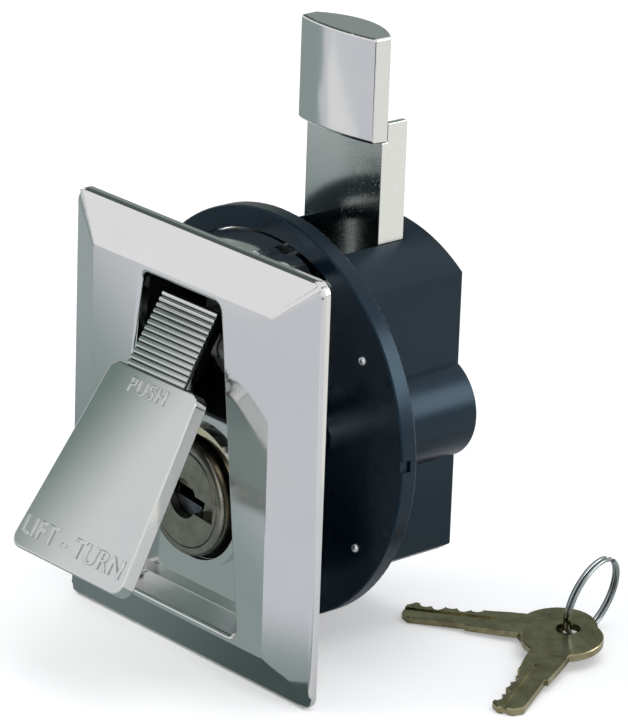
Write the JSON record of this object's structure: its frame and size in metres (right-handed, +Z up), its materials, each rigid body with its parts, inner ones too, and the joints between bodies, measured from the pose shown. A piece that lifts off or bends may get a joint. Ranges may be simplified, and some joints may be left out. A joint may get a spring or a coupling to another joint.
{
  "type": "flush latch",
  "caption": "Flush lift-and-turn door latch with bevelled front plate, key lock, rear housing, sliding bolt and keys on a ring.",
  "frame": {"origin": "centre of the front plate in the plane of its back face, which is the plane of the door's front", "axes": "+Y into the door, towards the housing; +Z up, the way the bolt slides out; +X right as seen from the front"},
  "size_m": [0.1063, 0.1113, 0.1252],
  "materials": {
    "polished_chrome": "polished chrome on a zinc casting, satin in places",
    "lever_chrome": "polished chrome on a zinc casting",
    "black_housing": "black glass-filled moulding, semi-gloss",
    "zinc_steel": "zinc-plated steel pressing",
    "cast_zinc": "plain zinc casting",
    "bronze": "sintered bronze bush",
    "screw_steel": "zinc-plated screws",
    "pin_steel": "ground steel pin",
    "bar_steel": "bright plated steel channel",
    "spring_steel": "spring wire",
    "lock_nickel": "nickel plate, warm grey",
    "shutter_steel": "dark steel flap",
    "key_brass": "nickel-plated brass, dull olive",
    "ring_steel": "plated spring wire"
  },
  "bodies": {
    "frame": {"front_plate": "polished_chrome", "rear_housing": "black_housing", "rear_cover": "black_housing", "clamp_screws": "screw_steel", "cover_screws": "screw_steel", "spindle_bush": "bronze", "lock_body": "lock_nickel", "lock_nut": "zinc_steel", "bolt_springs": "spring_steel"},
    "handle_spindle": {"spindle": "cast_zinc", "thrust_washer": "zinc_steel", "spindle_clip": "zinc_steel", "drive_arm": "zinc_steel", "crank_pin": "pin_steel", "arm_washer": "zinc_steel", "arm_screw": "screw_steel", "pivot_pin": "pin_steel", "lug_washers": "zinc_steel"},
    "lever": {"lever": "lever_chrome"},
    "bolt": {"bolt_bar": "bar_steel", "bolt_head": "polished_chrome", "bolt_screws": "screw_steel"},
    "lock_plug": {"lock_plug": "lock_nickel", "keyway_shutter": "shutter_steel", "lock_cam": "zinc_steel", "cam_screw": "screw_steel"},
    "keys": {"key_1": "key_brass", "key_2": "key_brass", "key_ring": "ring_steel"}
  },
  "joints": [
    {"name": "handle_turn", "type": "hinge", "parent": "frame", "child": "handle_spindle", "pos_m": [0, 0.0033, 0.0215], "axis": [0, 1, 0], "range_deg": [0, 90]},
    {"name": "handle_lift", "type": "hinge", "parent": "handle_spindle", "child": "lever", "pos_m": [0, 0.0033, 0.0215], "axis": [-1, 0, 0], "range_deg": [-12, 52.6]},
    {"name": "bolt_slide", "type": "slide", "parent": "frame", "child": "bolt", "axis": [0, 0, -1], "range_m": [0, 0.01103], "stiffness_N_per_m": 60, "springref_m": -0.02, "deforming": ["bolt_springs"]},
    {"name": "lock_turn", "type": "hinge", "parent": "frame", "child": "lock_plug", "pos_m": [0, 0, -0.0108], "axis": [0, 1, 0], "range_deg": [0, 90]},
    {"name": "keys_pick_up", "type": "slide", "parent": "frame", "child": "keys", "axis": [0.866, 0, 0.5], "range_m": [0, 0.06]}
  ],
  "couplings": [
    {"joint": "handle_turn", "follows": "bolt_slide", "rad_per_m": 142.41}
  ]
}
